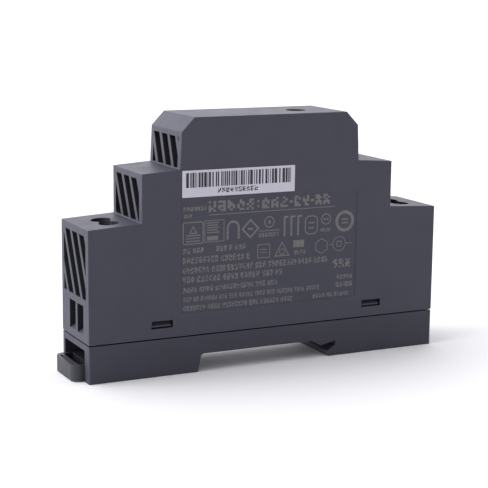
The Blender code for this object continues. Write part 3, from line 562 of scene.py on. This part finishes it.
def build_moulding(node, name, body, material, inside, is_rounded, rounding):
    """A moulded piece with some edges rounded and a second material on the inside faces, which for
    the case shells is painted shade.
    """
    shape = bmesh.new()
    shape.from_mesh(NODES[node].data)
    bmesh.ops.remove_doubles(shape, verts=shape.verts, dist=WELD)
    bmesh.ops.dissolve_limit(
        shape, angle_limit=FLAT_ANGLE, verts=shape.verts, edges=shape.edges
    )
    tree = BVHTree.FromBMesh(shape)
    # inside faces take the second material, painted shade on the case shells
    for face in shape.faces:
        face.material_index = int(is_inside(face, tree))
    sharp = [edge for edge in shape.edges if edge.calc_face_angle() > math.radians(20)]
    bmesh.ops.bevel(
        shape,
        geom=[edge for edge in sharp if is_rounded(edge)],
        offset=rounding * MM,
        segments=3,
        profile=0.5,
        affect="EDGES",
        clamp_overlap=True,
    )
    bmesh.ops.remove_doubles(shape, verts=shape.verts, dist=WELD)
    mesh = bpy.data.meshes.new(name)
    shape.to_mesh(mesh)
    shape.free()
    mesh.shade_smooth()
    mesh.set_sharp_from_angle(angle=math.radians(35))
    obj = add_piece(name, mesh, body, SLOT_OF_NODE[node], material, stands_for=(node,))
    obj.data.materials.append(inside)
    normals = obj.modifiers.new("normals", "WEIGHTED_NORMAL")
    normals.keep_sharp = True


def build_mouldings():
    clip, board = MATERIAL_OF_SLOT["clip"], MATERIAL_OF_SLOT["board"]
    plans = (
        ("cover_shell", "case", CASE, CASE_PAINTED_SHADE, is_case_edge, COVER_ROUNDING),
        ("base_shell", "case", BASE_CASE, BASE_PAINTED_SHADE, is_case_edge, BASE_ROUNDING),
        ("clip_slide", "rail_clip", clip, clip, is_clip_edge, CLIP_ROUNDING),
        ("board_sheet", "case", board, board, is_board_edge, BOARD_ROUNDING),
    )
    for node, plan in zip(REBUILT, plans):
        build_moulding(node, *plan)


def arc(centre, radius, start, end, steps):
    """Points along a round stretch, between two angles in degrees."""
    angles = [math.radians(start + (end - start) * i / steps) for i in range(steps + 1)]
    return [(centre[0] + radius * math.cos(a), centre[1] + radius * math.sin(a)) for a in angles]


def square_box(x0, z0, x1, z1):
    return [(x0, z0), (x1, z0), (x1, z1), (x0, z1)]


def rounded_box(x0, z0, x1, z1, radius, steps=3):
    outline = []
    corners = (
        ((x1 - radius, z1 - radius), 0),
        ((x0 + radius, z1 - radius), 90),
        ((x0 + radius, z0 + radius), 180),
        ((x1 - radius, z0 + radius), 270),
    )
    for centre, start in corners:
        outline += arc(centre, radius, start, start + 90, steps)
    return outline


# What one row of an invented sign may hold: strokes as (start, end) in thirds of its width
SIGN_ROWS = (
    ((0, 3),),
    ((0, 1), (2, 3)),
    ((0, 3),),
    ((1, 2),),
    ((0, 1), (2, 3)),
    ((0, 2),),
    ((1, 3),),
    ((0, 1),),
    ((2, 3),),
)
SIGN_LEVELS = 5
HAIRLINE = 0.001  # half the gap between two rows
WORD_GAP = 0.35  # in sign heights


class Marks:
    """Thin closed marks that stand on a plane of constant Y; outlines are (X, Z)."""

    def __init__(self, base_y, thickness, seed=0):
        self.shape = bmesh.new()
        self.draw = random.Random(seed)
        self.base_y = base_y
        self.top_y = base_y - thickness

    def corner(self, point, y):
        return self.shape.verts.new((point[0] * MM, y * MM, point[1] * MM))

    def sides(self, lower, upper):
        for i, first in enumerate(lower):
            after = (i + 1) % len(lower)
            self.shape.faces.new((first, lower[after], upper[after], upper[i]))

    def patch(self, outline):
        """A filled outline."""
        lower = [self.corner(p, self.base_y) for p in outline]
        upper = [self.corner(p, self.top_y) for p in outline]
        self.sides(lower, upper)
        self.shape.faces.new(lower)
        self.shape.faces.new(upper)

    def bar(self, x0, z0, x1, z1):
        self.patch(square_box(x0, z0, x1, z1))

    def band(self, outer, inner):
        """The strip between two outlines that have the same number of points."""
        loops = [
            [self.corner(p, y) for p in outline]
            for outline, y in (
                (outer, self.base_y),
                (outer, self.top_y),
                (inner, self.top_y),
                (inner, self.base_y),
            )
        ]
        for lower, upper in zip(loops, loops[1:] + loops[:1]):
            self.sides(lower, upper)

    def arch(self, centre, radius, width, foot):
        """Half a ring on two legs that reach down to Z = foot."""
        x, steps = centre[0], 16
        left = [(x - radius, foot), (x - radius + width, foot)]
        right = [(x + radius - width, foot), (x + radius, foot)]
        outer = arc(centre, radius, 0, 180, steps)
        inner = arc(centre, radius - width, 180, 0, steps)
        self.patch(outer + left + inner + right)

    def hook(self, x, z, width, height, stroke):
        """An upright stroke whose top runs to the right."""
        right, top = x + width, z + height
        head = [(right, top - stroke), (right, top), (x, top)]
        self.patch([(x, z), (x + stroke, z), (x + stroke, top - stroke)] + head)

    def ring(self, centre, radius, width, steps=28):
        self.band(
            arc(centre, radius, 0, 360 - 360 / steps, steps - 1),
            arc(centre, radius - width, 0, 360 - 360 / steps, steps - 1),
        )

    def frame(self, x0, z0, x1, z1, width, radius=0.0):
        """A box drawn as a line, with round corners where a radius is given."""
        inset = (x0 + width, z0 + width, x1 - width, z1 - width)
        if radius:
            self.band(rounded_box(x0, z0, x1, z1, radius), rounded_box(*inset, radius - width))
        else:
            self.band(square_box(x0, z0, x1, z1), square_box(*inset))

    def regular(self, centre, radius, sides, width):
        """An outlined regular polygon with a corner at its top."""
        angles = [math.radians(90.0 + 360.0 * i / sides) for i in range(sides)]
        inner_radius = radius - width / math.cos(math.pi / sides)
        outlines = [
            [(centre[0] + r * math.cos(a), centre[1] + r * math.sin(a)) for a in angles]
            for r in (radius, inner_radius)
        ]
        self.band(*outlines)

    def sign(self, x, z, width, height):
        """One unreadable sign: neighbouring rows differ and don't quite touch."""
        row, step, third = None, height / SIGN_LEVELS, width / 3
        for level in range(SIGN_LEVELS):
            row = self.draw.choice([other for other in SIGN_ROWS if other != row])
            low = z + level * step + HAIRLINE
            for start, end in row:
                self.bar(x + start * third, low, x + end * third, low + step - HAIRLINE)

    def writing(self, x, z, height, words, width=0.58, gap=0.19):
        """A row of unreadable words; words holds the number of signs in each.

        Width and gap are in sign heights. Returns where the next word would start.
        """
        for count in words:
            for _ in range(count):
                self.sign(x, z, width * height, height)
                x += (width + gap) * height
            x += WORD_GAP * height
        return x

    def mesh(self, name):
        bmesh.ops.recalc_face_normals(self.shape, faces=self.shape.faces)
        mesh = bpy.data.meshes.new(name)
        self.shape.to_mesh(mesh)
        self.shape.free()
        return mesh


PANEL_DEPTH = 0.15
PANEL_Y = PANEL_DEPTH - HALF_WIDTH / MM
MARK_THICKNESS = 0.012
INK_THICKNESS = 0.008
MARK_LIFT = 0.002  # keeps a mark's back off the face under it


def mark_heading(marks):
    """Small signs, the large heading with a colon and two dashes, and its rule."""
    marks.writing(-22.2, 33.3, 0.95, (7,), width=0.7, gap=0.2)
    marks.writing(-22.0, 31.75, 0.9, (3,))
    x = marks.writing(-16.0, 32.85, 2.5, (5,), width=0.76, gap=0.2) - 0.5
    for z in (33.2, 34.4):
        marks.bar(x, z, x + 0.5, z + 0.5)
    x = marks.writing(x + 1.2, 32.85, 2.5, (3,), width=0.76, gap=0.2) - 0.9
    for _ in range(2):
        marks.bar(x, 33.8, x + 0.9, 34.3)
        x = marks.writing(x + 1.3, 32.85, 2.5, (2,), width=0.68, gap=0.18) - 0.9
    marks.bar(-15.9, 32.1, 16.9, 32.28)


def mark_boxes(marks):
    """Two boxes at the left, with a triangle and some bars."""
    marks.frame(-22.4, 25.7, -17.2, 30.9, 0.26, radius=0.6)
    marks.regular((-19.8, 28.75), 1.25, 3, 0.26)
    for z in (26.3, 26.95, 27.6):
        marks.bar(-21.6, z, -18.0, z + 0.28)
    marks.frame(-17.0, 25.9, -12.0, 31.0, 0.18)
    for i in range(5):
        marks.bar(-16.4, 28.0 + i * 0.56, -13.4 - 0.25 * (i % 2), 28.26 + i * 0.56)
    marks.bar(-16.4, 26.3, -13.6, 27.3)


def mark_symbols(marks):
    """Round and square pictograms that stand for nothing."""
    marks.arch((-9.75, 28.9), 1.65, 0.5, 26.2)
    marks.regular((-5.35, 28.35), 2.35, 4, 0.42)
    marks.bar(-6.05, 28.1, -4.65, 28.55)
    marks.ring((-0.45, 29.6), 1.35, 0.28)
    marks.bar(-0.75, 29.2, -0.15, 30.0)
    marks.writing(-3.2, 26.1, 1.0, (7,))
    marks.bar(-3.2, 27.5, 2.2, 27.7)
    for x in (3.3, 5.1, 6.9):
        marks.hook(x, 25.9, 1.25, 4.8, 0.45)
    marks.frame(8.9, 25.9, 12.4, 30.4, 0.26, radius=1.2)
    marks.bar(9.9, 27.3, 11.4, 27.6)
    marks.bar(9.9, 28.5, 11.4, 28.8)
    marks.ring((14.6, 29.3), 1.35, 0.26)
    marks.bar(13.9, 29.15, 15.3, 29.45)
    marks.writing(13.2, 26.3, 0.9, (4,))
    marks.ring((19.7, 28.5), 2.55, 0.75, steps=36)
    marks.bar(18.8, 28.75, 20.6, 29.1)
    marks.bar(18.8, 27.9, 20.6, 28.25)


def mark_second_row(marks):
    """Smaller pictograms and two short lines of signs at their left."""
    marks.writing(-22.2, 23.6, 1.25, (2, 3))
    marks.writing(-14.0, 23.7, 1.25, (3, 1, 3))
    marks.frame(-3.5, 21.2, -0.2, 24.5, 0.2)
    marks.bar(-2.7, 22.4, -1.0, 22.6)
    marks.bar(-2.7, 23.1, -1.0, 23.3)
    marks.regular((2.95, 22.45), 2.35, 3, 0.26)
    marks.ring((2.95, 22.35), 0.75, 0.2, steps=18)
    marks.bar(5.9, 23.1, 8.8, 24.8)
    marks.writing(6.2, 21.4, 1.0, (4,))
    marks.regular((13.5, 22.9), 1.9, 6, 0.2)
    marks.ring((18.3, 23.1), 1.8, 0.2)
    marks.bar(15.6, 23.0, 16.5, 23.2)
    marks.bar(20.1, 23.0, 21.9, 23.2)
    marks.frame(17.6, 22.4, 19.0, 23.8, 0.2)


# X and Z of a line's start, sign height, signs in each word, and width and gap of a sign
TEXT_LINES = (
    (-22.3, 21.3, 1.45, (9, 6, 1), 0.52, 0.17),
    (-22.3, 19.0, 1.4, (7, 11, 3, 12, 4), 0.52, 0.17),
    (-22.3, 16.9, 1.4, (3, 6, 4, 5, 3, 2), 0.54, 0.18),
    (-22.2, 14.6, 1.2, (4, 4, 11, 3, 3), 0.58, 0.17),
    (-22.2, 12.45, 1.15, (3, 2, 6, 3, 3, 5, 4, 3, 6, 4, 5), 0.46, 0.16),
    (-22.2, 10.35, 1.2, (7, 4, 8, 3, 6, 4), 0.52, 0.16),
    (16.6, 17.3, 2.1, (3,), 0.64, 0.2),
    (17.9, 14.5, 1.05, (5,), 0.64, 0.2),
    (17.6, 12.55, 1.2, (4,), 0.8, 0.18),
    (11.4, 10.45, 1.0, (4, 2, 5), 0.64, 0.2),
)


def mark_text(marks):
    """Lines of unreadable words, larger at the top and at the right edge."""
    for line in TEXT_LINES:
        marks.writing(*line)


def build_panel_marks():
    """The printed panel. Places of marks are X and Z of their lower left corners or middles."""
    marks = Marks(PANEL_Y - MARK_LIFT, MARK_THICKNESS, seed=11)
    for section in (mark_heading, mark_boxes, mark_symbols, mark_second_row, mark_text):
        section(marks)
    add_piece("panel_marks", marks.mesh("panel_marks"), "case", "label", laser_marking())


def build_sticker():
    """The sticker's sheet, with round corners and a softened edge."""
    low, high = box_mm("barcode_label")
    sheet = Marks(high.y, high.y - low.y)
    sheet.patch(rounded_box(low.x, low.z, high.x, high.z, 0.12, steps=4))
    mesh = sheet.mesh("sticker_sheet")
    obj = add_piece("sticker_sheet", mesh, "case", "label", stands_for=("barcode_label",))
    bevel = obj.modifiers.new("bevel", "BEVEL")
    bevel.width = 0.03 * MM
    bevel.segments = 2


BAR_UNIT = 0.17  # the narrowest bar


def build_bars():
    """Bars of random widths over the sticker's upper two thirds, and a row of signs."""
    low, high = box_mm("barcode_label")
    marks = Marks(low.y - MARK_LIFT, INK_THICKNESS, seed=5)
    x, end = low.x + 0.9, high.x - 1.1
    while x < end:
        width = BAR_UNIT * marks.draw.choice((1, 2, 2, 3, 4))
        marks.bar(x, high.z - 3.9, min(x + width, end), high.z - 0.55)
        x += width + BAR_UNIT * marks.draw.choice((1, 1, 2, 3))
    marks.writing(-13.8, low.z + 0.75, 1.1, (10,), width=0.7, gap=0.24)
    add_piece("sticker_print", marks.mesh("sticker_print"), "case", "label", printing_ink())


# ---------------------------------------------------------------- springs, threads and windings


def tube(name, points, radius, resolution=2):
    """A mesh of round wire through points in millimetres."""
    curve = bpy.data.curves.new(name, "CURVE")
    curve.dimensions = "3D"
    curve.bevel_depth = radius * MM
    curve.bevel_resolution = resolution
    curve.use_fill_caps = True
    spline = curve.splines.new("POLY")
    spline.points.add(len(points) - 1)
    for point, place in zip(spline.points, points):
        point.co = (*(Vector(place) * MM), 1.0)
    drawn = bpy.data.objects.new(name, curve)
    bpy.context.scene.collection.objects.link(drawn)
    bpy.context.view_layer.update()
    graph = bpy.context.evaluated_depsgraph_get()
    mesh = bpy.data.meshes.new_from_object(drawn.evaluated_get(graph))
    bpy.data.objects.remove(drawn, do_unlink=True)
    bpy.data.curves.remove(curve)
    welded = bmesh.new()
    welded.from_mesh(mesh)
    bmesh.ops.remove_doubles(welded, verts=welded.verts, dist=WELD)
    bmesh.ops.recalc_face_normals(welded, faces=welded.faces)
    welded.to_mesh(mesh)
    welded.free()
    mesh.name = name
    mesh.shade_smooth()
    mesh.materials.clear()
    return mesh


def helix(start, end, radius, turns, per_turn):
    """Points of a coil from one point of its axis to another."""
    start, end = Vector(start), Vector(end)
    along = (end - start).normalized()
    across = along.orthogonal().normalized()
    third = along.cross(across)
    count = round(turns * per_turn)
    points = []
    for i in range(count + 1):
        angle = math.tau * i / per_turn
        spoke = across * math.cos(angle) + third * math.sin(angle)
        points.append(start + (end - start) * (i / count) + spoke * radius)
    return points


SPRING_WIRE = 0.25  # radius


def build_spring():
    """The clip's spring, as a coil of round wire with a mesh of its own."""
    low, high = box_mm("clip_spring")
    radius = (high.z - low.z) / 2 - SPRING_WIRE
    middle_y, middle_z = (low.y + high.y) / 2, (low.z + high.z) / 2
    start = (low.x + SPRING_WIRE, middle_y, middle_z)
    end = (high.x - SPRING_WIRE, middle_y, middle_z)
    mesh = tube("spring_coil", helix(start, end, radius, 7, 18), SPRING_WIRE)
    obj = add_piece("spring_coil", mesh, "case", "spring", stands_for=("clip_spring",))
    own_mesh(obj)


THREAD_RADIUS = 1.23
THREAD_CREST = 0.09  # radius of the round ridge
THREAD_TURNS = 8.5
HEAD_HEIGHT = 2.2  # the top of the screw, which has no thread


def build_threads():
    """The rolled thread of each terminal screw."""
    for pole in POLES:
        end, name = pole.split("_")
        low, high = box_mm(f"{end}_screw_{name}")
        x, y = (low.x + high.x) / 2, (low.y + high.y) / 2
        foot, top = (x, y, low.z + 0.15), (x, y, high.z - HEAD_HEIGHT)
        path = helix(foot, top, THREAD_RADIUS, THREAD_TURNS, 14)
        mesh = tube(f"{end}_thread_{name}", path, THREAD_CREST, resolution=1)
        add_piece(f"{end}_thread_{name}", mesh, f"{end}_screw_{name}", "screw_steel")


CHOKE_WIRE = 0.24  # radius
TURN_PITCH = 2 * CHOKE_WIRE * 1.06  # leaves a small gap between turns
LAYER_STEP = 0.46


def build_choke_winding(node):
    """Two layers of enamelled wire on a drum core."""
    low, high = box_mm(node)
    x, z = (low.x + high.x) / 2, (low.z + high.z) / 2
    reach = (high.x - low.x) / 2 - CHOKE_WIRE
    near, far = (x, low.y + CHOKE_WIRE, z), (x, high.y - CHOKE_WIRE, z)
    turns = (far[1] - near[1]) / TURN_PITCH
    path = helix(near, far, reach, turns, 20) + helix(far, near, reach - LAYER_STEP, turns, 20)
    mesh = tube(node + "_turns", path, CHOKE_WIRE, resolution=1)
    add_piece(node + "_turns", mesh, "case", "copper_wire", stands_for=(node,))


# ---------------------------------------------------------------- stage


FLOOR_Z = CAD_BOX[0].z - 0.05 * MM  # just under the feet, so that the two faces don't mix
FLOOR_REACH = 12.0  # in metres, so that its edges stay far away
FLOOR_SEEN = (0.93, 0.93, 0.94)
FLOOR_BOUNCE = (0.66, 0.66, 0.67)
SKY_FRONT, SKY_BACK = 0.52, 1.75
SKY_TOP = 0.75
SKY_LEFT, SKY_RIGHT = 1.1, 0.95


def build_floor():
    """A wide pale floor. It bounces less light than the camera sees, as a lit backdrop does."""
    shape = bmesh.new()
    bmesh.ops.create_grid(shape, x_segments=24, y_segments=24, size=FLOOR_REACH)
    bmesh.ops.translate(shape, verts=shape.verts, vec=(0, 0, FLOOR_Z))
    mesh = bpy.data.meshes.new("floor")
    shape.to_mesh(mesh)
    shape.free()
    surface = Surface("floor_paper", FLOOR_BOUNCE, 0.85)
    seen = surface.node("ShaderNodeLightPath").outputs["Is Camera Ray"]
    surface.tint(seen, FLOOR_SEEN)
    surface.mottle(400.0, 0.006)
    mesh.materials.append(surface.finish(Specular_IOR_Level=0.1))
    floor = bpy.data.objects.new("floor", mesh)
    bpy.context.scene.collection.objects.link(floor)


def build_world():
    """Soft light, strongest low and from behind; the camera itself sees an even white."""
    world = bpy.data.worlds.new("studio")
    world.use_nodes = True
    nodes = NodeTree(world.node_tree)
    axes = nodes.node("ShaderNodeSeparateXYZ")
    nodes.feed(axes, "Vector", nodes.node("ShaderNodeTexCoord").outputs["Generated"])
    depth = nodes.spread(axes.outputs["Y"], -0.9, 0.9, SKY_FRONT, SKY_BACK, "SMOOTHSTEP")
    height = nodes.spread(axes.outputs["Z"], 0.0, 1.0, 1.0, SKY_TOP)
    side = nodes.spread(axes.outputs["X"], -1.0, 1.0, SKY_LEFT, SKY_RIGHT)
    lit = world.node_tree.nodes["Background"]
    nodes.feed(lit, "Color", (0.96, 0.96, 1.0, 1.0))
    nodes.feed(lit, "Strength", nodes.product(nodes.product(depth, height), side))
    seen = nodes.node("ShaderNodeBackground")
    nodes.feed(seen, "Color", (1.0, 1.0, 1.0, 1.0))
    mix = nodes.node("ShaderNodeMixShader")
    nodes.feed(mix, "Fac", nodes.node("ShaderNodeLightPath").outputs["Is Camera Ray"])
    nodes.feed(mix, 1, lit.outputs["Background"])
    nodes.feed(mix, 2, seen.outputs["Background"])
    nodes.feed(world.node_tree.nodes["World Output"], "Surface", mix.outputs["Shader"])
    bpy.context.scene.world = world


def add_sun(name, direction, strength, spread):
    """A distant light; direction points from the object to the light."""
    light = bpy.data.lights.new(name, "SUN")
    light.energy = strength
    light.angle = math.radians(spread)
    obj = bpy.data.objects.new(name, light)
    obj.rotation_mode = "QUATERNION"
    obj.rotation_quaternion = Vector(direction).to_track_quat("Z", "Y")
    bpy.context.scene.collection.objects.link(obj)


def build_lights():
    """The sky, a soft light above and a stronger one at the input end."""
    build_world()
    add_sun("top_light", (-0.35, 0.3, 1.0), 0.45, 50)
    add_sun("left_light", (-1.0, 0.1, 0.5), 1.7, 55)


CAMERA_AZIMUTH = -26.39
CAMERA_ELEVATION = 10.59
CAMERA_ROLL = 0.60
CAMERA_DISTANCE = 336.9
CAMERA_LENS = 104.53
CAMERA_TARGET = (0.0, 0.0, 23.1)
CAMERA_OFFSET = (-2.42, -0.22)  # right and up


def build_camera():
    """The photo's view. Azimuth is measured from -Y towards +X, and roll turns the frame."""
    azimuth, elevation = math.radians(CAMERA_AZIMUTH), math.radians(CAMERA_ELEVATION)
    back = Vector(
        (
            math.sin(azimuth) * math.cos(elevation),
            -math.cos(azimuth) * math.cos(elevation),
            math.sin(elevation),
        )
    )
    right = Vector((0, 0, 1)).cross(back).normalized()
    up = back.cross(right)
    roll = math.radians(CAMERA_ROLL)
    right, up = (
        right * math.cos(roll) + up * math.sin(roll),
        up * math.cos(roll) - right * math.sin(roll),
    )
    place = Vector(CAMERA_TARGET) + back * CAMERA_DISTANCE
    place += right * CAMERA_OFFSET[0] + up * CAMERA_OFFSET[1]
    data = bpy.data.cameras.new("camera")
    data.lens = CAMERA_LENS
    data.sensor_width = 36.0
    data.clip_start = 0.01
    data.clip_end = 50.0
    camera = bpy.data.objects.new("camera", data)
    turn = Matrix((right, up, back)).transposed().to_4x4()
    camera.matrix_world = Matrix.Translation(place * MM) @ turn
    bpy.context.scene.collection.objects.link(camera)
    bpy.context.scene.camera = camera
    bpy.context.scene.view_settings.view_transform = "Standard"


# ---------------------------------------------------------------- assembly


dress_cad_nodes()
build_mouldings()
build_panel_marks()
build_sticker()
build_bars()
build_spring()
build_threads()
for winding in ("filter_choke_winding", "output_choke_winding"):
    build_choke_winding(winding)
build_floor()
build_lights()
build_camera()
